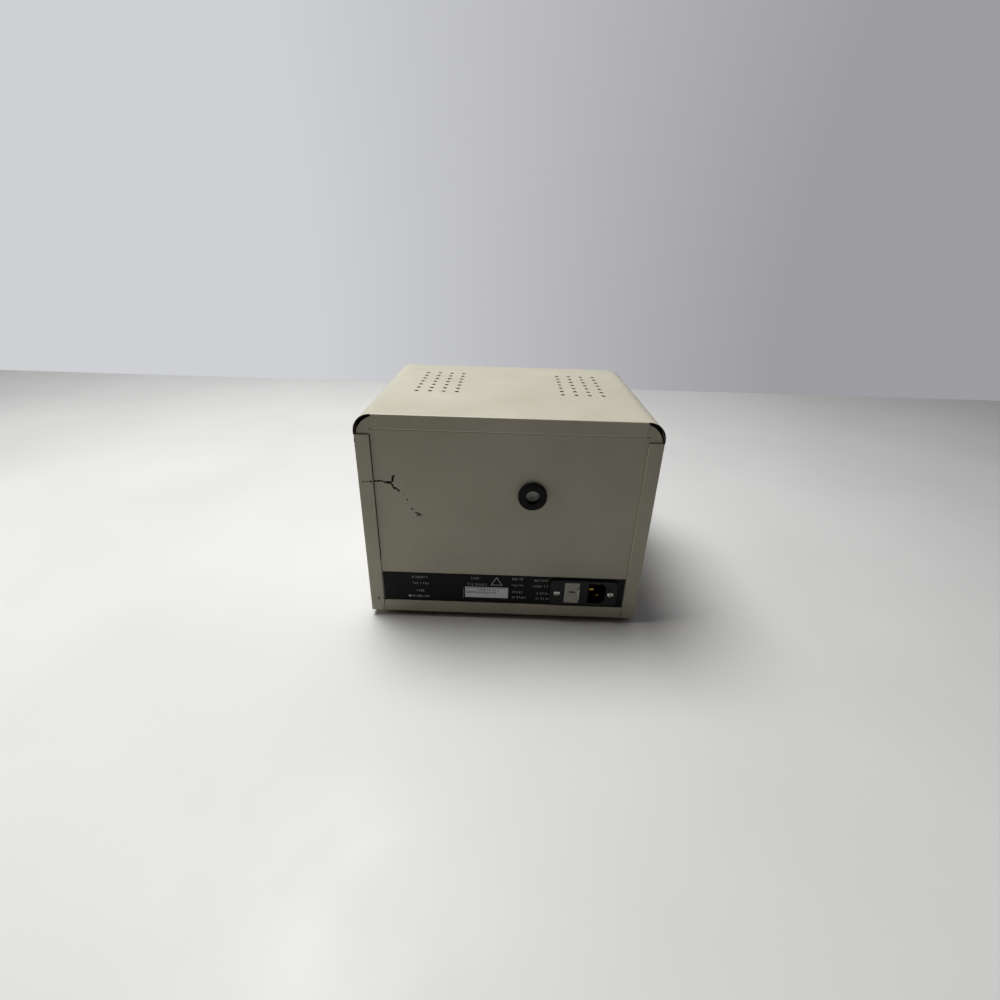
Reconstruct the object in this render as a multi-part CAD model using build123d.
from build123d import *
import os

# Dry block heater, in millimetres: a tall rear tower with the electrics, and in front of it a low deck
# with two lift-out aluminium blocks in a heated well, under a clear hinged lid, with the controls on a slope.
# +Z is up, -Y is the front (controls), +Y is the rear (mains inlet), +X is the right seen from the front.
# The origin is the middle of the bounding box's footprint, on the bench.

# ---------------------------------------------------------------- case
body_width = 256.0
tower_depth = 195.0
tower_height = 198.0
deck_height = 98.0
slope_run = 45.0          # depth, and drop, of the sloping control panel
well_front = 21.7         # slope's top edge to the pocket for the blocks
foot_height = 6.0
foot_radius = 11.0
foot_taper = 1.0
foot_inset_x = 23.0
foot_inset_y = 26.0
sheet = 1.2               # steel sheet of every casing piece
bend_radius = 15.2        # outside radius of the two long top bends
fold_radius = 0.9         # softened outer edge where the sheet is folded in
flange_width = 12.7
flange_relief = 17.8      # a side flange stops this far below the top
panel_corner = 18.0
panel_gap = 0.5           # end panel to the cover around it
lap_gap = 0.1             # sheet that slides past another sheet
seam = 0.6                # butt joint between deck cover and tower cover
rear_lip = 12.7
pan_wall = 22.0
fascia_inset = 1.5        # front fascia behind the cover's front edges
front_panel_drop = 12.0   # tower front panel below the deck
upstand = 10.0            # deck cover's rear edge, turned up against the tower front panel
upstand_screw_pitch = 64.0
upstand_screw_count = 4

# vents in the top of the tower
vent_pitch = 12.7
vent_radius = 2.0
vent_columns = 4
vent_rows = 7
vent_group_x = 69.05
vent_group_y = 116.3      # centre of each group from the rear face

# intake slots in the floor
intake_length = 34.0
intake_width = 3.6
intake_pitch = 9.0
intake_count = 6

# fasteners
screw_radius = 1.5
screw_clearance = 0.1
pan_head_radius = 2.9
pan_head_height = 1.8
csk_radius = 3.2
case_screw_length = 8.0
case_screw_z = 12.0
case_screw_end = 30.0     # from the ends of each cover
screw_reach = 4.0         # screws beyond the pieces that they join
nut_radius = 3.1          # to its corners
nut_height = 2.4
cut = 5.0                 # cutting shapes beyond the faces that they cut

# ---------------------------------------------------------------- heating well and blocks
block_width = 95.3
block_depth = 76.2
block_height = 50.8
block_edge = 1.5
block_gap = 0.8           # around and between the blocks
pocket_depth = 45.0
well_wall = 6.0
well_floor = 10.0
well_back = 18.5          # pocket's rear wall to the tower's front plane
deck_cutout_margin = 1.5
bezel_margin = 4.5
bezel_height = 1.5
bezel_gap = 0.3
small_tube_radius = 8.75
small_tube_pitch = 22.5
small_tube_columns = 4
small_tube_rows = 3
large_tube_radius = 14.3
large_tube_pitch_x = 31.0
large_tube_pitch_y = 35.0
large_tube_columns = 3
large_tube_rows = 2
tube_depth = 44.0
tube_chamfer = 0.8
thermometer_radius = 3.9
thermometer_depth = 38.0
heater_thickness = 1.5
heater_margin = 12.0      # heater mat inside the well's outline
heater_tab_width = 12.0
heater_tab_inset = 2.0    # end of the mat's tab inside the well's outline
cutout_radius = 6.4       # round thermal cut-out
cutout_tab_spacing = 8.0
sensor_radius = 2.0
sensor_depth = 28.0
sensor_x = 24.0
fit_gap = 0.2             # around pieces that pass through another without touching
clamp_thickness = 3.0
jacket_wall = 8.0
jacket_gap = 0.4
jacket_top_gap = 2.0
post_radius = 4.0
post_inset = 6.5
wool_gap = 0.5            # mineral wool to the round pieces that pass through it

# ---------------------------------------------------------------- lid
lid_side_margin = 11.5    # lid's sides outside the pocket
lid_front_margin = 15.7   # lid's front ahead of the pocket
lid_wall = 3.0
lid_back = 4.0            # lid's rear edge from the tower's front plane
lid_height = 57.0
lid_lift = 0.5            # lid's rim above the deck
lid_radius = 15.0
lid_side_radius = 6.0
hinge_x = 82.0
hinge_out = 8.0           # hinge axis from the tower's front plane
barrel_radius = 4.0
barrel_length = 14.0
barrel_gap = 0.2          # barrel above the lid's top face, and barrel to ears
pin_radius = 2.0
pin_running_gap = 0.06
pin_seat_gap = 0.02
ear_thickness = 3.0
ear_radius = 3.8
bracket_width = 38.0
bracket_height = 15.0     # above the hinge axis
bracket_thickness = 2.0
leaf_length = 20.0
leaf_thickness = 2.0
leaf_screw_spacing = 8.0
leaf_screw_inset = 5.0
bracket_screw_inset = 4.0
handle_span = 70.0
handle_bar = 8.0
handle_rise = 16.0
handle_from_front = 18.0
handle_grip = 6.0         # thickness of the bar above the finger gap
handle_screw_depth = 7.0

# ---------------------------------------------------------------- control slope
overlay_thickness = 0.4
overlay_left = -110.0
overlay_right = 64.0
overlay_height = 52.0
display_x = -68.0
display_width = 56.0
display_height = 22.0
window_thickness = 2.0
window_gap = 0.15
display_setback = 1.2     # display module behind its window
display_margin = 2.0      # module inside the window's outline
digit_height = 12.0
digit_width = 7.0
digit_pitch = 11.0
digit_stroke = 1.4
digit_gap = 0.5           # between the segments' ends
digit_relief = 0.3
key_size = 11.0
key_pitch = 18.0
key_first_x = -16.0
key_count = 4
key_gap = 0.3
key_proud = 2.4
key_travel = 0.8
key_rim = 1.0
key_rim_thickness = 0.9
key_corner = 1.2
key_edge = 0.6
key_stem_radius = 2.0
board_depth = 12.0        # front of the display board behind the fascia's face
board_thickness = 1.6
board_height = 44.0
tact_size = 6.0
tact_height = 3.5
tact_plunger_radius = 1.75
tact_plunger = 1.0
rocker_x = 88.0
rocker_width = 16.0
rocker_radius = 12.0
rocker_depth = 4.0
rocker_dip = 1.2
rocker_rise = 3.2
rocker_swing = 8.0        # each side of level, in degrees
rocker_gap = 0.3
rocker_pivot = 1.0        # pivot below the panel's face
trunnion_radius = 1.2
trunnion_length = 1.4
trunnion_gap = 0.05
switch_wall = 1.7
switch_bezel = 3.0
switch_bezel_height = 1.4
switch_body_depth = 17.0
switch_blade_spacing = 10.0
spade_width = 6.3         # push-on tab behind the switch
spade_thickness = 0.8

# ---------------------------------------------------------------- rear panel
port_x = -22.4
port_height = 128.5
port_radius = 12.5
port_bore = 6.35
port_neck = 9.5           # grommet's groove, which is the hole in the panel
port_proud = 4.0          # from the rear panel's face
port_inner_lip = 3.0
port_plug_gap = 0.06
port_plug_length = 7.0
port_plug_sunk = 4.0
label_thickness = 0.3
label_height = 31.75
label_gap = 0.3
sticker_width = 41.2
sticker_height = 12.4
sticker_thickness = 0.15
sticker_x = 16.1
sticker_z = 24.4          # its middle, above the case's floor
inlet_screw_spacing = 50.8
inlet_centre_x = -76.05
inlet_height = 28.6
inlet_flange_width = 64.0
inlet_flange_height = 28.0
inlet_flange_thickness = 2.2
inlet_body_width = 43.4
inlet_body_height = 25.8
inlet_body_depth = 30.0
socket_x = -88.7
socket_width = 16.5
socket_height = 22.4
socket_depth = 17.0
socket_chamfer = 4.0
blade_length = 10.0
blade_width = 4.0
blade_thickness = 2.0
blade_spread = 7.0
blade_offset = 2.0
tab_length = 9.0
drawer_x = -65.0
drawer_width = 14.2
drawer_height = 22.6
drawer_length = 27.0
drawer_gap = 0.15
drawer_proud = 0.5
drawer_lip = 0.8
drawer_lip_width = 1.8
drawer_lip_length = 12.0
drawer_slot_width = 6.0
drawer_slot_height = 1.4
drawer_slot_depth = 2.0
drawer_end = 3.0          # drawer's front wall, ahead of the fuses
fuse_radius = 2.6
fuse_length = 20.0
fuse_gap = 0.1
fuse_spacing = 9.6
rear_hole_inset = 7.7     # from the body's side
rear_hole_height = 14.4
rear_hole_radius = 1.2

# ---------------------------------------------------------------- electrics inside the tower
board_x0 = -102.0
board_x1 = 18.0
board_y0 = 30.0           # from the tower's front plane
board_y1 = 122.0
standoff_height = 10.0
standoff_radius = 3.0
standoff_inset = 6.0
display_standoff_radius = 2.5
heatsink_size = (46.0, 3.0, 40.0)
heatsink_place = (82.0, 52.0)         # on the board, from its front left corner, as those below
fin_size = (1.6, 14.0)
fin_pitch = 5.0
fin_count = 9
triac_size = (10.0, 4.5, 15.0)
triac_leg_size = (0.8, 0.6, 6.0)
triac_leg_pitch = 2.54
relay_size = (29.0, 13.0, 16.0)
relay_place = (30.0, 66.0)
capacitor_radius = 6.5
capacitor_height = 22.0
capacitor_pitch = 16.0
capacitor_place = (60.0, 32.0)        # the first of three
capacitor_count = 3
terminal_pitch = 7.5
terminal_size = 12.0                  # depth and height of a terminal block
terminal_hole = 4.0
terminal_hole_z = 4.5
rear_terminals_x = 28.0
front_terminals_x = 84.0
terminals_inset = 8.0                 # middle of a block from the board's edge
core_width = 66.0
core_depth = 32.0
core_height = 55.0
core_window_width = 11.0
core_window_height = 30.25
core_x = 70.0
core_y = 105.0
winding_swell = 12.0
strap_thickness = 1.5
strap_foot = 12.0
strap_depth = 19.2
lead_radius = 1.2
lead_bend = 5.0
lead_straight = 4.0       # least straight run at a lead's ends
switch_run_x = 68.0       # wires from the power switch, under the well
ribbon_width = 20.0
ribbon_thickness = 0.9
ribbon_bend = 5.0
ribbon_lap = 4.0          # ribbon over the control board's edge
ribbon_from_edge = 32.0   # ribbon's middle from the board's left edge
floor_run = 5.0           # ribbon above the floor
earth_x = -20.0
earth_radius = 2.0
earth_length = 12.0
earth_collar_radius = 4.0
earth_collar = 3.0
earth_back = 36.0         # from the rear face

# ---------------------------------------------------------------- places worked out from the sizes
half = body_width / 2
pocket_width = 2 * block_width + 3 * block_gap
pocket_length = block_depth + 2 * block_gap
deck_depth = slope_run + well_front + pocket_length + well_back
inlet_proud = label_thickness + inlet_flange_thickness - sheet
total_depth = deck_depth + tower_depth + inlet_proud + pan_head_height
y_front = -total_depth / 2
y_tower = y_front + deck_depth
y_rear = y_tower + tower_depth
y_slope = y_front + slope_run
z_base = foot_height
z_floor = z_base + sheet
z_deck = z_base + deck_height
z_top = z_base + tower_height
inner_half = half - sheet - lap_gap
lip_half = half - flange_width - panel_gap
y_panel = y_rear - sheet              # rear panel's outer face

pocket_y = y_tower - well_back - pocket_length / 2
z_pocket = z_deck - pocket_depth
z_well_top = z_deck - sheet - lap_gap
z_well_bottom = z_pocket - well_floor
z_heater = z_well_bottom - heater_thickness
z_clamp = z_heater - clamp_thickness
block_x = (block_width + block_gap) / 2
well_half_x = pocket_width / 2 + well_wall
well_half_y = pocket_length / 2 + well_wall
heater_lead_x = -30.0

lid_width = pocket_width + 2 * lid_side_margin
lid_front = well_back + pocket_length + lid_front_margin      # from the tower's front plane
z_lid = z_deck + lid_lift
z_lid_top = z_lid + lid_height
hinge_y = y_tower - hinge_out
hinge_z = z_lid_top + barrel_radius + barrel_gap

slope = Plane(
    origin=(0, (y_front + y_slope) / 2, z_deck - slope_run / 2), x_dir=(1, 0, 0), z_dir=(0, -1, 1)
)
panel = slope.offset(-fascia_inset).location
key_places = [key_first_x + key_pitch * i for i in range(key_count)]
display_front = window_thickness + display_setback
inlet_z = z_base + inlet_height
port_z = z_base + port_height
y_inlet_face = y_panel + label_thickness + inlet_flange_thickness
z_board = z_floor + standoff_height + board_thickness
z_clamps = z_board + terminal_hole_z  # wires enter the terminal blocks here
cutout_bottom = z_clamp - jacket_wall
y_lead_drop = y_tower + 3 * lead_straight
y_front_clamps = y_tower + board_y0 + terminals_inset - terminal_size / 2 - lead_radius
strap_outer = core_width / 2 + fit_gap + strap_thickness
MIDDLE = Align.CENTER
LOW = Align.MIN
HIGH = Align.MAX


# ---------------------------------------------------------------- helpers
def span(x0, x1, y0, y1, z0, z1):
    """Box between two corners."""
    return Pos((x0 + x1) / 2, (y0 + y1) / 2, (z0 + z1) / 2) * Box(x1 - x0, y1 - y0, z1 - z0)


def rod(radius, start, direction, length):
    """Cylinder from a point along a direction."""
    return Part(Solid.make_cylinder(radius, length, Plane(origin=start, z_dir=direction)).wrapped)


def cone(radius, end_radius, start, direction, length):
    """Cone from a point along a direction."""
    solid = Solid.make_cone(radius, end_radius, length, Plane(origin=start, z_dir=direction))
    return Part(solid.wrapped)


def both_sides(solid):
    """The solid and its mirror image across the middle plane."""
    return [solid, mirror(solid, Plane.YZ)]


def round_edges(solid, axis, radius):
    """Round all edges that run along one axis."""
    return fillet(solid.edges().filter_by(axis), radius)


def bore(radius, place, direction, reach=cut):
    """Round cutting shape that runs equally far to both sides of a point."""
    start = Vector(*place) - Vector(*direction) * reach
    return rod(radius, start, direction, 2 * reach)


def screw_holes(places, direction, reach=cut):
    """Clearance holes for screws."""
    return [bore(screw_radius + screw_clearance, place, direction, reach) for place in places]


def pan_screw(place, direction, length):
    """Pan-head screw: its head stands on the given point and its shank runs back into the work."""
    head = rod(pan_head_radius, place, direction, pan_head_height)
    head = fillet(head.edges().filter_by(GeomType.CIRCLE).sort_by_distance(place)[-1:], pan_head_height / 2)
    back = Vector(*direction) * -1
    return head + rod(screw_radius, place, back, length)


def lead(points, radii):
    """Round wire along straight runs joined by arcs."""
    path = FilletPolyline(*points, radius=radii)
    return sweep(Plane(origin=path @ 0, z_dir=path % 0) * Circle(lead_radius), path=path)


def save(name, *solids):
    """Write one node's solids to its own file."""
    shape = solids[0] if len(solids) == 1 else Compound(children=list(solids))
    export_step(shape, f"parts/{name}.step")


# ---------------------------------------------------------------- case
def arch(width, top, radius, y0, y1):
    """Solid with a flat bottom and two long rounded top edges."""
    solid = span(-width / 2, width / 2, y0, y1, z_base, top)
    return fillet(solid.edges().filter_by(Axis.Y).group_by(Axis.Z)[-1], radius)


def wrap(top, y0, y1):
    """Sheet folded down over both sides, open below."""
    outer = arch(body_width, top, bend_radius, y0, y1)
    return outer - arch(body_width - 2 * sheet, top - sheet, bend_radius - sheet, y0, y1)


def turned_in_flanges(y0, z0):
    """Flanges folded in from the tower's sides and top, one sheet thick from y0."""
    side = span(half - flange_width, half - sheet / 2, y0, y0 + sheet, z0, z_top - flange_relief)
    straight = half - bend_radius
    top = span(-straight, straight, y0, y0 + sheet, z_top - flange_width, z_top - sheet / 2)
    return both_sides(side) + [top]


def case_screw_places():
    """Where the countersunk screws enter the right-hand side."""
    ends = [(y_front, y_tower), (y_tower, y_rear)]
    return [(half, y, z_base + case_screw_z)
            for y0, y1 in ends for y in (y0 + case_screw_end, y1 - case_screw_end)]


def case_screw(place, clearance=0.0):
    """Countersunk screw flush with the side, or the hole for it."""
    head = cone(csk_radius + clearance, screw_radius + clearance, place, (-1, 0, 0), sheet + lap_gap)
    return head + rod(screw_radius + clearance, place, (-1, 0, 0), case_screw_length)


def case_screw_holes():
    return [hole for place in case_screw_places()
            for hole in both_sides(case_screw(place, screw_clearance))]


def tower_cover():
    cover = wrap(z_top, y_tower, y_rear)
    cover += turned_in_flanges(y_rear - sheet, z_base)
    cover += turned_in_flanges(y_tower, z_deck + seam)
    rims = cover.edges().filter_by(Axis.X).filter_by(lambda e: e.center().Z > z_top - sheet / 4)
    cover = fillet(rims, fold_radius)
    vents = GridLocations(vent_pitch, vent_pitch, vent_columns, vent_rows)
    for side in (-1, 1):
        group = Pos(side * vent_group_x, y_rear - vent_group_y, z_top) * vents
        cover -= group * Cylinder(vent_radius, 4 * sheet)
    rear_hole = (half - rear_hole_inset, y_rear, z_base + rear_hole_height)
    cover -= bore(rear_hole_radius, rear_hole, (0, 1, 0), 2 * sheet)
    return cover - case_screw_holes()


def above_slope(depth):
    """Space in front of the sloping panel, from a depth behind the cover's edges."""
    reach = 4 * body_width
    return slope.offset(-depth).location * Box(reach, reach, reach, align=(MIDDLE, MIDDLE, LOW))


def deck_cover():
    cover = wrap(z_deck, y_front, y_tower - seam) - above_slope(0)
    cover += span(-lip_half, lip_half, y_tower - 2 * seam, y_tower + sheet, z_deck - sheet, z_deck)
    cover += span(-lip_half, lip_half, y_tower, y_tower + sheet, z_deck - sheet, z_deck + upstand)
    cutout_x = pocket_width / 2 + deck_cutout_margin
    cutout_y = pocket_length / 2 + deck_cutout_margin
    cutout = Pos(0, pocket_y, z_deck) * Box(2 * cutout_x, 2 * cutout_y, 4 * sheet)
    cover -= round_edges(cutout, Axis.Z, 3)
    cover -= screw_holes(upstand_screw_places(), (0, 1, 0))
    return cover - case_screw_holes()


def upstand_screw_places():
    first = -(upstand_screw_count - 1) / 2 * upstand_screw_pitch
    z = z_deck + (upstand + sheet) / 2
    return [(first + i * upstand_screw_pitch, y_tower, z) for i in range(upstand_screw_count)]


def upstand_screws():
    length = 2 * sheet + screw_reach
    return [pan_screw(place, (0, -1, 0), length) for place in upstand_screw_places()]


def end_panel(y0, z0):
    """Flat sheet that closes one end of the tower behind the flanges."""
    reach = half - sheet - panel_gap
    plate = span(-reach, reach, y0, y0 + sheet, z0, z_top - sheet - panel_gap)
    return fillet(plate.edges().filter_by(Axis.Y).group_by(Axis.Z)[-1], panel_corner)


def rear_panel():
    plate = end_panel(y_panel - sheet, z_floor + lap_gap)
    plate -= bore(port_neck, (port_x, y_panel, port_z), (0, 1, 0))
    plate -= inlet_cutout(lap_gap)
    return plate - inlet_screw_holes()


def tower_front_panel():
    plate = end_panel(y_tower + sheet, z_deck - front_panel_drop)
    return plate - screw_holes(upstand_screw_places() + hinge_screw_places(), (0, 1, 0))


def base_pan():
    y_back = y_rear - sheet - lap_gap
    pan = span(-inner_half, inner_half, y_front + fascia_inset, y_back, z_base, z_floor)
    pan += span(-lip_half, lip_half, y_back - 1, y_rear, z_base, z_floor)
    pan += span(-lip_half, lip_half, y_panel, y_rear, z_base, z_base + rear_lip - lap_gap)
    wall_front = y_front + fascia_inset + sheet + lap_gap
    wall_back = y_panel - sheet - lap_gap
    wall = span(inner_half - sheet, inner_half, wall_front, wall_back, z_base, z_base + pan_wall)
    pan += both_sides(wall)
    slots = GridLocations(0, intake_pitch, 1, intake_count)
    for x, y in ((core_x, core_y), ((board_x0 + board_x1) / 2, (board_y0 + board_y1) / 2)):
        slot = extrude(SlotOverall(intake_length, intake_width), 2 * sheet, both=True)
        pan -= Pos(x, y_tower + y, z_base) * slots * slot
    pan -= screw_holes(foot_places(), (0, 0, 1))
    return pan - case_screw_holes()


def front_filling(depth):
    """Everything inside the deck cover that lies deeper than this behind its front edges."""
    gap = sheet + lap_gap
    inside = arch(body_width - 2 * gap, z_deck - gap, bend_radius - gap, y_front + depth, y_slope + slope_run)
    return inside - above_slope(depth)


def front_fascia():
    fascia = front_filling(fascia_inset) - front_filling(fascia_inset + sheet)
    fascia -= span(-half, half, y_front, y_slope, z_base, z_floor + lap_gap)
    fascia -= panel * Pos(display_x, 0, 0) * Box(display_width, display_height, 4 * sheet)
    hole = key_size + 2 * key_gap
    fascia -= [panel * Pos(x, 0, 0) * Box(hole, hole, 4 * sheet) for x in key_places]
    return fascia - panel * Pos(rocker_x, 0, 0) * Box(*switch_hole(), 4 * sheet)


# ---------------------------------------------------------------- feet
def foot_places():
    xs = (-half + foot_inset_x, half - foot_inset_x)
    return [(x, y, z_base) for x in xs for y in (y_front + foot_inset_y, y_rear - foot_inset_y)]


def foot(place):
    """Rubber foot, a little narrower at the bench, with a recess for its screw."""
    down = (0, 0, -1)
    shape = cone(foot_radius, foot_radius - foot_taper, place, down, foot_height)
    recess = Vector(*place) + Vector(*down) * foot_height
    shape -= bore(pan_head_radius + foot_taper, recess, down, foot_height / 2)
    return shape - screw_holes([place], down)


def foot_screws():
    length = foot_height / 2 + sheet + screw_reach
    z = z_base - foot_height / 2
    return [pan_screw((x, y, z), (0, 0, -1), length) for x, y, _ in foot_places()]


def nut(place, direction):
    """Hexagon nut that sits on a point, around a screw along the direction."""
    face = Plane(origin=place, z_dir=direction)
    body = extrude(face * RegularPolygon(nut_radius, 6), nut_height)
    return body - screw_holes([place], direction)


# ---------------------------------------------------------------- heating well
def pocket(clearance, z0, z1):
    """The space for the blocks, grown by a clearance."""
    x = pocket_width / 2 + clearance
    y = pocket_length / 2 + clearance
    return round_edges(span(-x, x, pocket_y - y, pocket_y + y, z0, z1), Axis.Z, 2)


def sensor_place():
    """Start of the temperature sensor's hole, in the rear of the well's floor."""
    return (sensor_x, pocket_y + well_half_y, (z_pocket + z_well_bottom) / 2)


def heating_well():
    well = span(-well_half_x, well_half_x, pocket_y - well_half_y, pocket_y + well_half_y,
                z_well_bottom, z_well_top)
    well = round_edges(well, Axis.Z, 5) - pocket(0, z_pocket, z_well_top)
    return well - bore(sensor_radius + lap_gap / 2, sensor_place(), (0, 1, 0), sensor_depth + lap_gap)


def temperature_sensor():
    x, y, z = sensor_place()
    return rod(sensor_radius, (x, y - sensor_depth, z), (0, 1, 0), sensor_depth + jacket_wall)


def well_bezel():
    """Trim ring that seals the well to the deck, standing slightly proud."""
    x = pocket_width / 2 + bezel_margin
    y = pocket_length / 2 + bezel_margin
    ring = span(-x, x, pocket_y - y, pocket_y + y, z_deck, z_deck + bezel_height)
    ring = round_edges(ring, Axis.Z, 5)
    ring = fillet(ring.faces().sort_by(Axis.Z)[-1].edges(), 0.7)
    neck_x = pocket_width / 2 + deck_cutout_margin - bezel_gap
    neck_y = pocket_length / 2 + deck_cutout_margin - bezel_gap
    neck = span(-neck_x, neck_x, pocket_y - neck_y, pocket_y + neck_y, z_well_top, z_deck)
    ring += round_edges(neck, Axis.Z, 3)
    return ring - pocket(bezel_gap, z_well_top, z_deck + bezel_height)


def heater_mat():
    x = well_half_x - heater_margin
    y = well_half_y - heater_margin
    mat = span(-x, x, pocket_y - y, pocket_y + y, z_heater, z_well_bottom)
    tab = heater_tab_width / 2
    tab_end = pocket_y + well_half_y - heater_tab_inset
    return mat + span(heater_lead_x - tab, heater_lead_x + tab, pocket_y, tab_end, z_heater, z_well_bottom)


def heater_clamp_plate():
    x = well_half_x - heater_margin
    y = well_half_y - heater_margin
    plate = span(-x, x, pocket_y - y, pocket_y + y, z_clamp, z_heater)
    return plate - bore(cutout_radius + fit_gap, (0, pocket_y, z_clamp), (0, 0, 1))


def thermal_cutout():
    """Round bimetal cut-out that reaches the heater through the clamp plate, with two tabs."""
    can = rod(cutout_radius, (0, pocket_y, cutout_bottom), (0, 0, 1), z_heater - cutout_bottom)
    tab = Box(spade_width / 2, spade_thickness, tab_length)
    places = GridLocations(cutout_tab_spacing, 0, 2, 1)
    return can + Pos(0, pocket_y, cutout_bottom) * places * tab


def post_places():
    x = well_half_x - post_inset
    y = well_half_y - post_inset
    return [(sx * x, pocket_y + sy * y, z_floor) for sx in (-1, 1) for sy in (-1, 1)]


def well_posts():
    return [rod(post_radius, place, (0, 0, 1), z_well_bottom - z_floor) for place in post_places()]


def insulation_jacket():
    """Mineral wool tray around the well, with room for posts, cut-out and heater leads."""
    x = well_half_x + jacket_gap
    y = well_half_y + jacket_gap
    z0 = z_clamp - lap_gap
    top = z_well_top - jacket_top_gap
    wool = span(-x - jacket_wall, x + jacket_wall, pocket_y - y - jacket_wall, pocket_y + y + jacket_wall,
                z0 - jacket_wall, top)
    wool -= span(-x, x, pocket_y - y, pocket_y + y, z0, top)
    wool -= [rod(post_radius + wool_gap, place, (0, 0, 1), z0) for place in post_places()]
    wool -= rod(cutout_radius + wool_gap, (0, pocket_y, z_floor), (0, 0, 1), z0)
    rear = pocket_y + y
    x0 = heater_lead_x - heater_tab_width / 2 - 2 * wool_gap
    x1 = heater_lead_x + heater_tab_width / 2 + 2 * wool_gap
    wool -= span(x0, x1, rear, rear + jacket_wall, z0, z_well_bottom)
    return wool - rod(sensor_radius + wool_gap, sensor_place(), (0, 1, 0), 2 * jacket_wall)


def block_blank(x):
    """Solid aluminium block standing in the well."""
    blank = Box(block_width, block_depth, block_height, align=(MIDDLE, MIDDLE, LOW))
    blank = Pos(x, pocket_y, z_pocket) * blank
    blank = fillet(blank.edges().filter_by(Axis.Z), block_edge)
    return chamfer(blank.faces().sort_by(Axis.Z)[-1].edges(), block_edge / 2)


def drilled(blank, x, offsets, radius, depth):
    """Flat-bottomed wells in a block, with chamfered mouths."""
    top = z_pocket + block_height
    for place in offsets:
        at = Pos(x, pocket_y, top) * place
        blank -= at * Cylinder(radius, depth, align=(MIDDLE, MIDDLE, HIGH))
        blank -= at * Cone(radius, radius + tube_chamfer, tube_chamfer, align=(MIDDLE, MIDDLE, HIGH))
    return blank


def block_left():
    wells = GridLocations(large_tube_pitch_x, large_tube_pitch_y, large_tube_columns, large_tube_rows)
    block = drilled(block_blank(-block_x), -block_x, wells, large_tube_radius, tube_depth)
    between = Pos(large_tube_pitch_x / 2, 0, 0)
    return drilled(block, -block_x, [between], thermometer_radius, thermometer_depth)


def block_right():
    wells = GridLocations(small_tube_pitch, small_tube_pitch, small_tube_columns, small_tube_rows)
    block = drilled(block_blank(block_x), block_x, wells, small_tube_radius, tube_depth)
    between = Pos(0, small_tube_pitch / 2, 0)
    return drilled(block, block_x, [between], thermometer_radius, thermometer_depth)


# ---------------------------------------------------------------- lid and hinge
def lid_shape(wall):
    """Filled shape of the lid, shrunk by a wall, open at the bottom and the rear."""
    x = lid_width / 2 - wall
    beyond = cut if wall else 0
    low = z_lid - beyond
    back = y_tower - lid_back + beyond
    body = span(-x, x, y_tower - lid_front + wall, back, low, z_lid_top - wall)
    body = fillet(body.edges().filter_by(Axis.Z).group_by(Axis.Y)[0], lid_side_radius - wall)
    front_top = body.edges().filter_by(Axis.X).group_by(Axis.Y)[0].sort_by(Axis.Z)[-1]
    return fillet(front_top, lid_radius - wall)


def lid_visor():
    visor = lid_shape(0) - lid_shape(lid_wall)
    return visor - screw_holes(leaf_screw_places() + handle_places(), (0, 0, 1))


def leaf_screw_places():
    y = hinge_y - leaf_length + leaf_screw_inset
    places = GridLocations(leaf_screw_spacing, 0, 2, 1)
    return [(side * hinge_x + at.position.X, y, z_lid_top) for side in (-1, 1) for at in places]


def lid_knuckles():
    """Barrels that turn on the hinge pins, each with a leaf on the lid."""
    knuckles = []
    for side in (-1, 1):
        x = side * hinge_x
        low = x - barrel_length / 2
        knuckle = rod(barrel_radius, (low, hinge_y, hinge_z), (1, 0, 0), barrel_length)
        knuckle += span(low, low + barrel_length, hinge_y - leaf_length, hinge_y, z_lid_top,
                        z_lid_top + leaf_thickness)
        knuckle -= bore(pin_radius + pin_running_gap, (x, hinge_y, hinge_z), (1, 0, 0), barrel_length)
        knuckles.append(knuckle - screw_holes(leaf_screw_places(), (0, 0, 1)))
    return knuckles


def leaf_screws():
    z = z_lid_top + leaf_thickness
    return [pan_screw((x, y, z), (0, 0, 1), leaf_thickness + lid_wall) for x, y, _ in leaf_screw_places()]


def hinge_screw_places():
    places = GridLocations(bracket_width - 2 * bracket_screw_inset, 0, 2, 1)
    y = y_tower + sheet - bracket_thickness
    z = hinge_z + bracket_height / 2
    return [(side * hinge_x + at.position.X, y, z) for side in (-1, 1) for at in places]


def hinge_brackets():
    """Brackets on the tower front, each with two ears that hold a pin."""
    face = y_tower + sheet
    ear_start = barrel_length / 2 + barrel_gap
    brackets = []
    for side in (-1, 1):
        x = side * hinge_x
        bracket = span(x - bracket_width / 2, x + bracket_width / 2, face - bracket_thickness, face,
                       hinge_z - ear_radius, hinge_z + bracket_height)
        for start in (x - ear_start - ear_thickness, x + ear_start):
            bracket += rod(ear_radius, (start, hinge_y, hinge_z), (1, 0, 0), ear_thickness)
            bracket += span(start, start + ear_thickness, hinge_y, face, hinge_z - ear_radius,
                            hinge_z + ear_radius)
        bracket -= bore(pin_radius + pin_seat_gap, (x, hinge_y, hinge_z), (1, 0, 0), bracket_width)
        brackets.append(bracket - screw_holes(hinge_screw_places(), (0, 1, 0)))
    return brackets


def hinge_pins():
    length = barrel_length + 2 * (barrel_gap + ear_thickness)
    return [rod(pin_radius, (side * hinge_x - length / 2, hinge_y, hinge_z), (1, 0, 0), length)
            for side in (-1, 1)]


def hinge_screws():
    length = bracket_thickness + sheet + screw_reach
    return [pan_screw(place, (0, -1, 0), length) for place in hinge_screw_places()]


def handle_places():
    y = y_tower - lid_front + handle_from_front
    return [(side * (handle_span - handle_bar) / 2, y, z_lid_top) for side in (-1, 1)]


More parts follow.
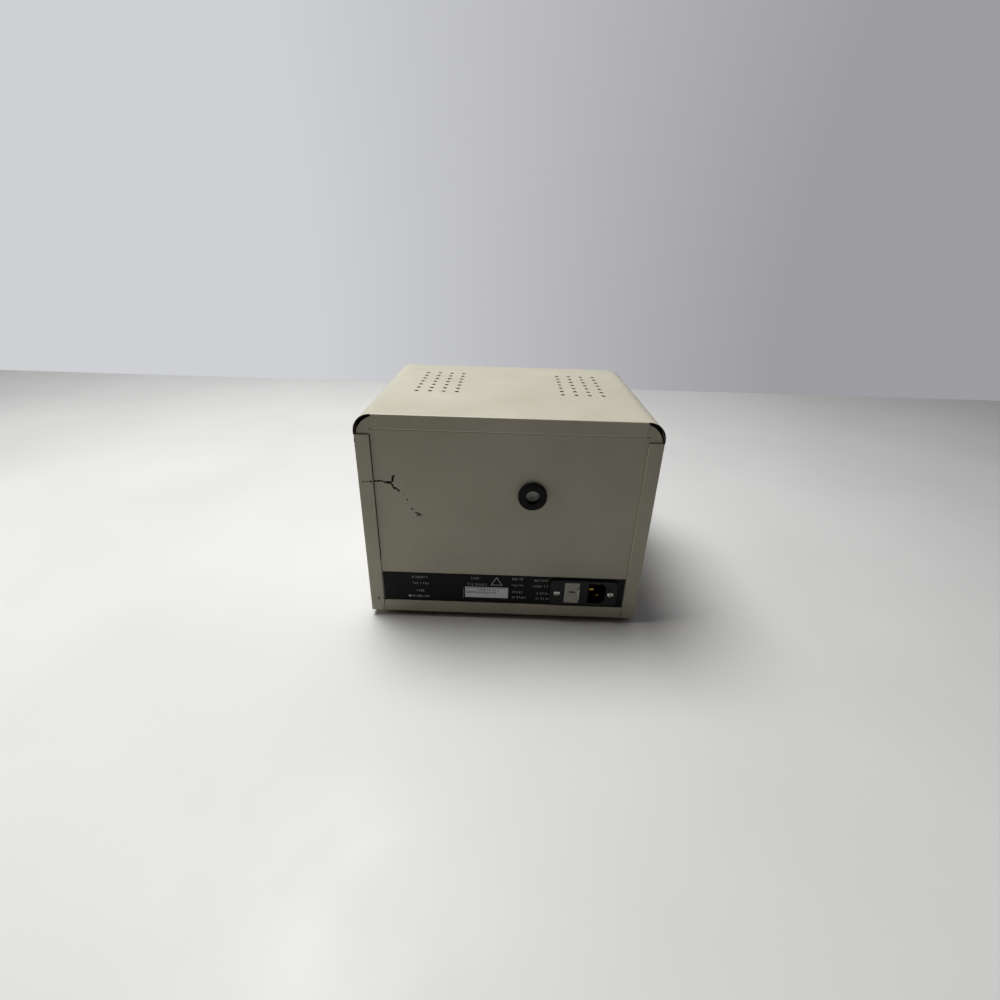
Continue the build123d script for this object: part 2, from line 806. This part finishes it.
def lid_handle():
    """Pull handle: a bar on two posts."""
    y = handle_places()[0][1]
    bar_half = handle_bar / 2
    top = z_lid_top + handle_rise
    bar = span(-handle_span / 2, handle_span / 2, y - bar_half, y + bar_half, z_lid_top, top)
    bar = fillet(bar.edges().filter_by(Axis.Y).group_by(Axis.Z)[-1], handle_grip - 1)
    gap = handle_span / 2 - handle_bar
    opening = span(-gap, gap, y - bar_half, y + bar_half, z_lid_top, top - handle_grip)
    bar -= fillet(opening.edges().filter_by(Axis.Y).group_by(Axis.Z)[-1], handle_grip / 2)
    return bar - screw_holes(handle_places(), (0, 0, 1), handle_screw_depth + screw_clearance)


def handle_screws():
    z = z_lid_top - lid_wall
    length = lid_wall + handle_screw_depth
    return [pan_screw((x, y, z), (0, 0, -1), length) for x, y, _ in handle_places()]


# ---------------------------------------------------------------- control slope
def control_overlay():
    """Printed film over the slope, cut out for the window and the keys."""
    middle = (overlay_left + overlay_right) / 2
    film = Box(overlay_right - overlay_left, overlay_height, overlay_thickness, align=(MIDDLE, MIDDLE, LOW))
    film = Pos(middle, 0, 0) * round_edges(film, Axis.Z, 3)
    film -= Pos(display_x, 0, 0) * Box(display_width, display_height, cut)
    hole = key_size + 2 * key_gap
    film -= [Pos(x, 0, 0) * Box(hole, hole, cut) for x in key_places]
    return panel * film


def display_window():
    width = display_width - 2 * window_gap
    height = display_height - 2 * window_gap
    pane = Box(width, height, window_thickness, align=(MIDDLE, MIDDLE, HIGH))
    return panel * Pos(display_x, 0, overlay_thickness) * pane


def display_module():
    """Black body of the four-digit display, on its board."""
    width = display_width - 2 * display_margin
    height = display_height - 2 * display_margin
    body = Box(width, height, board_depth - display_front, align=(MIDDLE, MIDDLE, HIGH))
    return panel * Pos(display_x, 0, -display_front) * body


def digit_bars(x, lit):
    """Segments of one digit: a letter for each, from a at the top clockwise to f, with g in the middle."""
    w = digit_width / 2
    h = digit_height / 2
    s = digit_stroke
    reach = 2 * w - s - digit_gap
    rise = h - s - digit_gap
    flat = {"a": (0, h), "g": (0, 0), "d": (0, -h)}
    upright = {"b": (w, h / 2), "c": (w, -h / 2), "e": (-w, -h / 2), "f": (-w, h / 2)}
    bars = []
    for letter in lit:
        across, up = flat.get(letter) or upright[letter]
        size = (reach, s) if letter in flat else (s, rise)
        bar = Box(*size, digit_relief, align=(MIDDLE, MIDDLE, LOW))
        bars.append(panel * Pos(display_x + x + across, up, -display_front) * bar)
    return bars


def display_digits():
    """Lit segments that read 37.0."""
    shapes = ["abcdg", "abc", "abcdef"]
    bars = []
    for place, lit in enumerate(shapes):
        bars += digit_bars((place - 1) * digit_pitch, lit)
    dot = Box(digit_stroke, digit_stroke, digit_relief, align=(MIDDLE, MIDDLE, LOW))
    bars.append(panel * Pos(display_x + digit_pitch / 2, -digit_height / 2, -display_front) * dot)
    return bars


def display_board():
    middle = (overlay_left + overlay_right) / 2
    width = overlay_right - overlay_left - 8
    board = Box(width, board_height, board_thickness, align=(MIDDLE, MIDDLE, HIGH))
    return panel * Pos(middle, 0, -board_depth) * board


def display_board_standoffs():
    """Pillars between the fascia and the board's corners."""
    length = board_depth - sheet
    xs = (overlay_left + 8, overlay_right - 8)
    pillar = Cylinder(display_standoff_radius, length, align=(MIDDLE, MIDDLE, HIGH))
    return [panel * Pos(x, v, -sheet) * pillar
            for x in xs for v in (-board_height / 2 + 4, board_height / 2 - 4)]


def key_switches():
    """Small push switches on the board, one under each key."""
    switches = []
    for x in key_places:
        body = Box(tact_size, tact_size, tact_height, align=(MIDDLE, MIDDLE, LOW))
        plunger = Cylinder(tact_plunger_radius, tact_plunger, align=(MIDDLE, MIDDLE, LOW))
        body += Pos(0, 0, tact_height) * plunger
        switches.append(panel * Pos(x, 0, -board_depth) * body)
    return switches


def key_cap(x):
    """Key that stands proud of the film, with a rim under the fascia and a stem to its switch."""
    cap = Box(key_size, key_size, key_proud + sheet, align=(MIDDLE, MIDDLE, HIGH))
    cap = fillet(cap.edges().filter_by(Axis.Z), key_corner)
    cap = Pos(0, 0, key_proud) * fillet(cap.faces().sort_by(Axis.Z)[-1].edges(), key_edge)
    rim_size = key_size + 2 * (key_gap + key_rim)
    rim_top = -sheet - lap_gap
    cap += Pos(0, 0, rim_top) * Box(rim_size, rim_size, key_rim_thickness, align=(MIDDLE, MIDDLE, HIGH))
    cap += Pos(0, 0, -sheet) * Box(key_size, key_size, key_rim_thickness, align=(MIDDLE, MIDDLE, HIGH))
    stem_end = -board_depth + tact_height + tact_plunger + key_travel + lap_gap
    cap += Pos(0, 0, stem_end) * Cylinder(key_stem_radius, -stem_end - sheet, align=(MIDDLE, MIDDLE, LOW))
    return panel * Pos(x, 0, 0) * cap


def switch_hole():
    """Width and height of the fascia's hole for the power switch."""
    width = rocker_width + 2 * (rocker_gap + switch_wall) + 2 * lap_gap
    return width, 2 * (rocker_radius + rocker_gap + switch_wall + lap_gap)


def switch_body():
    """Power switch housing: a bezel on the fascia and a box behind it."""
    width, height = switch_hole()
    bezel = Box(width + 2 * switch_bezel, height + 2 * switch_bezel, switch_bezel_height,
                align=(MIDDLE, MIDDLE, LOW))
    bezel = fillet(bezel.edges().filter_by(Axis.Z), 2)
    bezel = fillet(bezel.faces().sort_by(Axis.Z)[-1].edges(), 0.8)
    body = Box(width - 2 * lap_gap, height - 2 * lap_gap, switch_body_depth, align=(MIDDLE, MIDDLE, HIGH))
    cavity_width = rocker_width + 2 * rocker_gap
    cavity = Box(cavity_width, 2 * (rocker_radius + rocker_gap), 2 * (rocker_depth + 4))
    switch = bezel + body - cavity
    bearing = Rot(0, 90, 0) * Cylinder(trunnion_radius + trunnion_gap, cavity_width + 2 * trunnion_length)
    switch -= Pos(0, 0, -rocker_pivot) * bearing
    return panel * Pos(rocker_x, 0, 0) * switch


def switch_blades():
    """Two blades at the back of the switch."""
    tab = Box(spade_thickness, spade_width, tab_length, align=(MIDDLE, MIDDLE, HIGH))
    return [panel * Pos(rocker_x + side * switch_blade_spacing / 2, 0, -switch_body_depth) * tab
            for side in (-1, 1)]


def power_rocker():
    """Dished rocker on two trunnions, resting with its lower end raised."""
    reach = rocker_radius + 1
    outline = Polyline(
        (-reach, -rocker_depth), (reach, -rocker_depth), (reach, rocker_rise),
        (0, rocker_dip), (-reach, rocker_rise), close=True,
    )
    dish = Pos(-rocker_width / 2, 0, 0) * extrude(Plane.YZ * make_face(outline), rocker_width)
    across = Rot(0, 90, 0)
    round_ends = across * Cylinder(rocker_radius, rocker_width)
    trunnions = across * Cylinder(trunnion_radius, rocker_width + 2 * trunnion_length)
    rocker = (Pos(0, 0, rocker_pivot) * dish & round_ends) + trunnions
    return panel * Pos(rocker_x, 0, -rocker_pivot) * Rot(-rocker_swing, 0, 0) * rocker


# ---------------------------------------------------------------- rear panel
def port_grommet():
    """Rubber lining of the cable port, gripping the rear panel."""
    start = (port_x, y_panel - sheet - port_inner_lip, port_z)
    ring = rod(port_radius, (port_x, y_panel, port_z), (0, 1, 0), port_proud)
    ring = fillet(ring.edges().filter_by(GeomType.CIRCLE).sort_by(Axis.Y)[-1:], 1.2)
    ring += rod(port_neck - lap_gap, (port_x, y_panel - sheet, port_z), (0, 1, 0), sheet)
    ring += rod(port_radius - 1, start, (0, 1, 0), port_inner_lip)
    return ring - rod(port_bore, start, (0, 1, 0), port_proud + sheet + port_inner_lip)


def port_plug():
    """Blanking plug in the port, sunk below its rim, with a finger hollow."""
    outer = y_panel + port_proud - port_plug_sunk
    start = (port_x, outer - port_plug_length, port_z)
    plug = rod(port_bore - port_plug_gap, start, (0, 1, 0), port_plug_length)
    plug = fillet(plug.edges().filter_by(GeomType.CIRCLE).sort_by(Axis.Y)[-1:], 0.6)
    return plug - rod(2.5, (port_x, outer - 1, port_z), (0, 1, 0), 2)


def rear_label():
    """Black printed band along the foot of the rear panel."""
    z0 = z_base + rear_lip
    x = lip_half - label_gap
    band = span(-x, x, y_panel, y_panel + label_thickness, z0, z0 + label_height)
    return band - inlet_cutout(lap_gap) - inlet_screw_holes()


def rating_sticker():
    """Pale rating plate stuck on the black band."""
    plate = Box(sticker_width, sticker_thickness, sticker_height, align=(MIDDLE, LOW, MIDDLE))
    return Pos(sticker_x, y_panel + label_thickness, z_base + sticker_z) * plate


def inlet_cutout(clearance):
    x = inlet_body_width / 2 + clearance
    z = inlet_body_height / 2 + clearance
    return Pos(inlet_centre_x, y_panel, inlet_z) * Box(2 * x, cut, 2 * z)


def inlet_screw_places():
    return [(inlet_centre_x + side * inlet_screw_spacing / 2, y_inlet_face, inlet_z) for side in (-1, 1)]


def inlet_screw_holes():
    return screw_holes(inlet_screw_places(), (0, 1, 0), 2 * cut)


def inlet_housing():
    """Mains inlet with an upright socket and a pocket for the fuse drawer."""
    y_back = y_panel + label_thickness - inlet_body_depth
    x = inlet_flange_width / 2
    z = inlet_flange_height / 2
    flange = span(inlet_centre_x - x, inlet_centre_x + x, y_panel + label_thickness, y_inlet_face,
                  inlet_z - z, inlet_z + z)
    flange = fillet(flange.edges().filter_by(Axis.Y), 5)
    flange = fillet(flange.faces().sort_by(Axis.Y)[-1].edges(), 0.6)
    x = inlet_body_width / 2
    z = inlet_body_height / 2
    housing = flange + span(inlet_centre_x - x, inlet_centre_x + x, y_back, y_panel + sheet,
                            inlet_z - z, inlet_z + z)
    x = socket_width / 2
    z = socket_height / 2
    socket = span(socket_x - x, socket_x + x, y_inlet_face - socket_depth, y_inlet_face + 1,
                  inlet_z - z, inlet_z + z)
    housing -= chamfer(socket.edges().filter_by(Axis.Y).group_by(Axis.X)[0], socket_chamfer)
    housing -= drawer_shape(drawer_gap, y_inlet_face - drawer_length - 1, y_inlet_face + 1)
    housing -= [Pos(bx, y_back, bz) * Box(w, 2 * (y_inlet_face - y_back) - socket_depth, h)
                for bx, bz, w, h in blade_places(lap_gap)]
    return housing - inlet_screw_holes()


def blade_places(clearance=0.0):
    """Middle, width and height of the earth blade and of the two live blades."""
    long_side = blade_width + 2 * clearance
    short_side = blade_thickness + 2 * clearance
    places = [(socket_x + 2 * blade_offset, inlet_z, long_side, short_side)]
    for up in (-1, 1):
        places.append((socket_x - blade_offset, inlet_z + up * blade_spread, long_side, short_side))
    return places


def inlet_blades():
    """Blades in the socket, running through to tabs behind the housing."""
    y0 = y_panel + label_thickness - inlet_body_depth - tab_length
    y1 = y_inlet_face - socket_depth + blade_length
    return [span(x - w / 2, x + w / 2, y0, y1, z - h / 2, z + h / 2) for x, z, w, h in blade_places()]


def inlet_screws():
    length = y_inlet_face - y_panel + sheet + screw_reach
    return [pan_screw(place, (0, 1, 0), length) for place in inlet_screw_places()]


def drawer_shape(clearance, y0, y1):
    x = drawer_width / 2 + clearance
    z = drawer_height / 2 + clearance
    return span(drawer_x - x, drawer_x + x, y0, y1, inlet_z - z, inlet_z + z)


def fuse_places():
    return [(drawer_x, inlet_z + up * fuse_spacing / 2) for up in (-1, 1)]


def fuse_drawer():
    """Drawer that holds the two fuses, with a pull slot and a lip along one side."""
    face = y_inlet_face + drawer_proud
    drawer = drawer_shape(0, y_inlet_face - drawer_length, face)
    drawer = fillet(drawer.faces().sort_by(Axis.Y)[-1].edges(), 0.6)
    slot = Box(drawer_slot_width, 2 * drawer_slot_depth, drawer_slot_height, align=(MIDDLE, MIDDLE, LOW))
    drawer -= Pos(drawer_x, face, inlet_z + drawer_slot_height / 2) * slot
    lip = Box(drawer_lip_width, drawer_lip + drawer_slot_depth, drawer_lip_length, align=(LOW, HIGH, MIDDLE))
    drawer += Pos(drawer_x - drawer_width / 2, face + drawer_lip, inlet_z - drawer_lip) * lip
    trough_end = y_inlet_face - drawer_end
    for x, z in fuse_places():
        trough = rod(fuse_radius + fuse_gap, (x, trough_end - fuse_length - 1, z), (0, 1, 0), fuse_length + 1)
        side = span(x, x + drawer_width, trough_end - fuse_length - 1, trough_end,
                    z - fuse_radius - fuse_gap, z + fuse_radius + fuse_gap)
        drawer = drawer - trough - side
    return drawer


def fuses():
    y0 = y_inlet_face - drawer_end - fuse_length - 0.5
    return [rod(fuse_radius, (x, y0, z), (0, 1, 0), fuse_length) for x, z in fuse_places()]


# ---------------------------------------------------------------- electrics inside the tower
def control_board():
    z0 = z_board - board_thickness
    return span(board_x0, board_x1, y_tower + board_y0, y_tower + board_y1, z0, z_board)


def control_board_standoffs():
    xs = (board_x0 + standoff_inset, board_x1 - standoff_inset)
    ys = (y_tower + board_y0 + standoff_inset, y_tower + board_y1 - standoff_inset)
    return [rod(standoff_radius, (x, y, z_floor), (0, 0, 1), standoff_height) for x in xs for y in ys]


def on_board(x, y, solid):
    """Place a component on the control board, from the board's front left corner."""
    return Pos(board_x0 + x, y_tower + board_y0 + y, z_board) * solid


def heatsink():
    """Finned extrusion that cools the power switch."""
    fins = GridLocations(fin_pitch, 0, fin_count, 1)
    body = Box(*heatsink_size, align=(MIDDLE, MIDDLE, LOW))
    body += fins * Box(*fin_size, heatsink_size[2], align=(MIDDLE, LOW, LOW))
    return on_board(*heatsink_place, body)


def triac():
    """Power switch in a flat package against the heatsink."""
    leg_length = triac_leg_size[2]
    body = Box(*triac_size, align=(MIDDLE, MIDDLE, LOW))
    leg = Box(*triac_leg_size, align=(MIDDLE, MIDDLE, HIGH))
    x, y = heatsink_place
    y -= (heatsink_size[1] + triac_size[1]) / 2
    return on_board(x, y, Pos(0, 0, leg_length) * (body + GridLocations(triac_leg_pitch, 0, 3, 1) * leg))


def relay():
    return on_board(*relay_place, round_edges(Box(*relay_size, align=(MIDDLE, MIDDLE, LOW)), Axis.Z, 1))


def capacitors():
    can = Cylinder(capacitor_radius, capacitor_height, align=(MIDDLE, MIDDLE, LOW))
    can = fillet(can.edges().sort_by(Axis.Z)[-1:], 0.8)
    x, y = capacitor_place
    return [on_board(x + i * capacitor_pitch, y, can) for i in range(capacitor_count)]


def terminal_block(columns):
    """Row of screw clamps with their wire holes towards the rear."""
    body = Box(terminal_pitch * columns, terminal_size, terminal_size, align=(MIDDLE, MIDDLE, LOW))
    places = GridLocations(terminal_pitch, 0, columns, 1)
    hole = Box(terminal_hole, 2 * terminal_hole, terminal_hole)
    body -= Pos(0, terminal_size / 2, terminal_hole_z) * places * hole
    return body - Pos(0, 0, terminal_size) * places * Cylinder(terminal_hole / 2, terminal_hole)


def rear_terminals():
    return on_board(rear_terminals_x, board_y1 - board_y0 - terminals_inset, terminal_block(3))


def front_terminals():
    return on_board(front_terminals_x, terminals_inset, Rot(0, 0, 180) * terminal_block(4))


def clamp_x(terminals_x, columns, column):
    """Middle of one screw clamp of a terminal block."""
    return board_x0 + terminals_x + (column - (columns - 1) / 2) * terminal_pitch


def transformer_core():
    """Stacked laminations with two windows."""
    core = Box(core_width, core_depth, core_height, align=(MIDDLE, MIDDLE, LOW))
    window = Box(core_window_width, core_depth, core_window_height)
    for side in (-1, 1):
        core -= Pos(side * core_width / 4, 0, core_height / 2) * window
    return Pos(core_x, y_tower + core_y, z_floor + strap_thickness) * core


def transformer_winding():
    """Taped winding around the middle limb, which fills both windows."""
    limb = core_width / 3
    height = core_window_height - 2 * fit_gap
    width = limb + 2 * core_window_width - 2 * fit_gap
    coil = Box(width, core_depth + 2 * winding_swell, height)
    coil = fillet(coil.edges().filter_by(Axis.Z), winding_swell / 2)
    coil -= Box(limb + 2 * fit_gap, core_depth + 2 * fit_gap, height)
    return Pos(core_x, y_tower + core_y, z_floor + strap_thickness + core_height / 2) * coil


def transformer_strap():
    """Steel strap over the laminations, with a screwed foot on each side."""
    top = core_height + strap_thickness + fit_gap
    strap = Box(2 * strap_outer, strap_depth, top + strap_thickness, align=(MIDDLE, MIDDLE, LOW))
    strap -= Box(2 * (strap_outer - strap_thickness), strap_depth, top, align=(MIDDLE, MIDDLE, LOW))
    strap += Box(2 * (strap_outer + strap_foot), strap_depth, strap_thickness, align=(MIDDLE, MIDDLE, LOW))
    return Pos(core_x, y_tower + core_y, z_floor) * strap - screw_holes(strap_screw_places(), (0, 0, 1))


def strap_screw_places():
    x = strap_outer + strap_foot / 2
    return [(core_x + side * x, y_tower + core_y, z_floor + strap_thickness) for side in (-1, 1)]


def strap_screws():
    return [pan_screw(place, (0, 0, 1), strap_thickness) for place in strap_screw_places()]


def earth_stud():
    """Earthing screw on the floor near the inlet."""
    place = (earth_x, y_rear - earth_back, z_floor)
    collar = rod(earth_collar_radius, place, (0, 0, 1), earth_collar)
    return collar + rod(earth_radius, place, (0, 0, 1), earth_length)


# ---------------------------------------------------------------- wiring inside
def mains_leads():
    """Three wires from the inlet's tabs to the rear terminals, in the order that keeps them apart."""
    y_start = y_panel + label_thickness - inlet_body_depth - tab_length
    y_end = y_tower + board_y1 - terminals_inset + terminal_size / 2 + lead_radius
    y_middle = (y_start + y_end) / 2
    leads = []
    for column, (x, z, _, _) in zip((2, 0, 1), blade_places()):
        x_end = clamp_x(rear_terminals_x, 3, column)
        points = [(x, y_start, z), (x, y_middle + lead_straight, z),
                  (x_end, y_middle - lead_straight, z_clamps), (x_end, y_end, z_clamps)]
        leads.append(lead(points, lead_bend))
    return leads


def heater_leads():
    """Two wires from the heater mat's tab to the front terminals."""
    z_start = z_heater - lead_radius
    y_start = pocket_y + well_half_y - 2 * heater_tab_inset
    leads = []
    for column, side in enumerate((-1, 1)):
        x = heater_lead_x + side * heater_tab_width / 4
        x_end = clamp_x(front_terminals_x, 4, column)
        points = [(x, y_start, z_start), (x, y_lead_drop, z_start),
                  (x_end, y_lead_drop + lead_straight, z_clamps), (x_end, y_front_clamps, z_clamps)]
        leads.append(lead(points, lead_bend / 2))
    return leads


def switch_leads():
    """Two wires from the power switch, down in front of the well and under it, to the front terminals."""
    y_down = pocket_y - well_half_y - jacket_gap - jacket_wall - lead_straight
    leads = []
    for number, blade in enumerate((1, -1)):
        start = panel * Pos(rocker_x + blade * switch_blade_spacing / 2, 0, -switch_body_depth - tab_length)
        x, y, z = start.position
        x_run = switch_run_x + blade * lead_straight
        x_end = clamp_x(front_terminals_x, 4, 3 - number)
        points = [(x, y, z), (x, y_down, z + y - y_down), (x_run, y_down, z_clamps),
                  (x_run, pocket_y, z_clamps), (x_end, y_tower, z_clamps), (x_end, y_front_clamps, z_clamps)]
        leads.append(lead(points, lead_bend / 2))
    return leads


def display_ribbon():
    """Flat cable from the display board, under the well, to the control board."""
    start = (panel * Pos(0, -display_height / 2, -board_depth - board_thickness)).position
    z_run = z_floor + floor_run
    z_end = z_board + 2 * ribbon_thickness
    y_end = y_tower + board_y0 + ribbon_lap
    x = board_x0 + ribbon_from_edge
    points = [
        (x, start.Y, start.Z), (x, start.Y + ribbon_bend, start.Z - ribbon_bend),
        (x, start.Y + ribbon_bend, z_run),
        (x, y_end - 4 * ribbon_lap, z_run), (x, y_end - 2 * ribbon_lap, z_end), (x, y_end, z_end),
    ]
    path = FilletPolyline(*points, radius=ribbon_bend / 2)
    end_plane = Plane(origin=path @ 0, x_dir=(1, 0, 0), z_dir=path % 0)
    return sweep(end_plane * Rectangle(ribbon_width, ribbon_thickness), path=path)


# ---------------------------------------------------------------- writing the nodes
def main():
    os.makedirs("parts", exist_ok=True)
    nuts_on_floor = [nut((x, y, z_floor), (0, 0, 1)) for x, y, _ in foot_places()]
    nuts_on_panel = [nut((x, y_panel - sheet, z), (0, -1, 0)) for x, _, z in inlet_screw_places()]
    single = [
        tower_cover, deck_cover, rear_panel, tower_front_panel, base_pan, front_fascia, heating_well,
        temperature_sensor, well_bezel, heater_mat, heater_clamp_plate, thermal_cutout, insulation_jacket,
        block_left, block_right, lid_visor, lid_handle, control_overlay, display_window, display_module,
        display_board, switch_body, power_rocker, port_grommet, port_plug, rear_label, rating_sticker,
        inlet_housing, fuse_drawer, control_board, heatsink, triac, relay, transformer_core,
        transformer_winding, transformer_strap, earth_stud, display_ribbon,
    ]
    grouped = [
        well_posts, lid_knuckles, hinge_brackets, hinge_pins, display_digits, key_switches, inlet_screws,
        fuses, capacitors,
    ]
    for make in single:
        save(make.__name__, make())
    for make in grouped:
        save(make.__name__, *make())
    for number, x in enumerate(key_places, start=1):
        save(f"key_{number}", key_cap(x))
    save("feet", *[foot(place) for place in foot_places()])
    save("pan_screws", *foot_screws(), *upstand_screws(), *hinge_screws(), *strap_screws())
    save("lid_screws", *leaf_screws(), *handle_screws())
    save("board_standoffs", *control_board_standoffs(), *display_board_standoffs())
    save("terminal_blocks", rear_terminals(), front_terminals())
    save("terminal_blades", *inlet_blades(), *switch_blades())
    save("inner_leads", *mains_leads(), *heater_leads(), *switch_leads())
    save("case_nuts", *nuts_on_floor, *nuts_on_panel)
    save("case_screws", *[s for place in case_screw_places() for s in both_sides(case_screw(place))])


main()
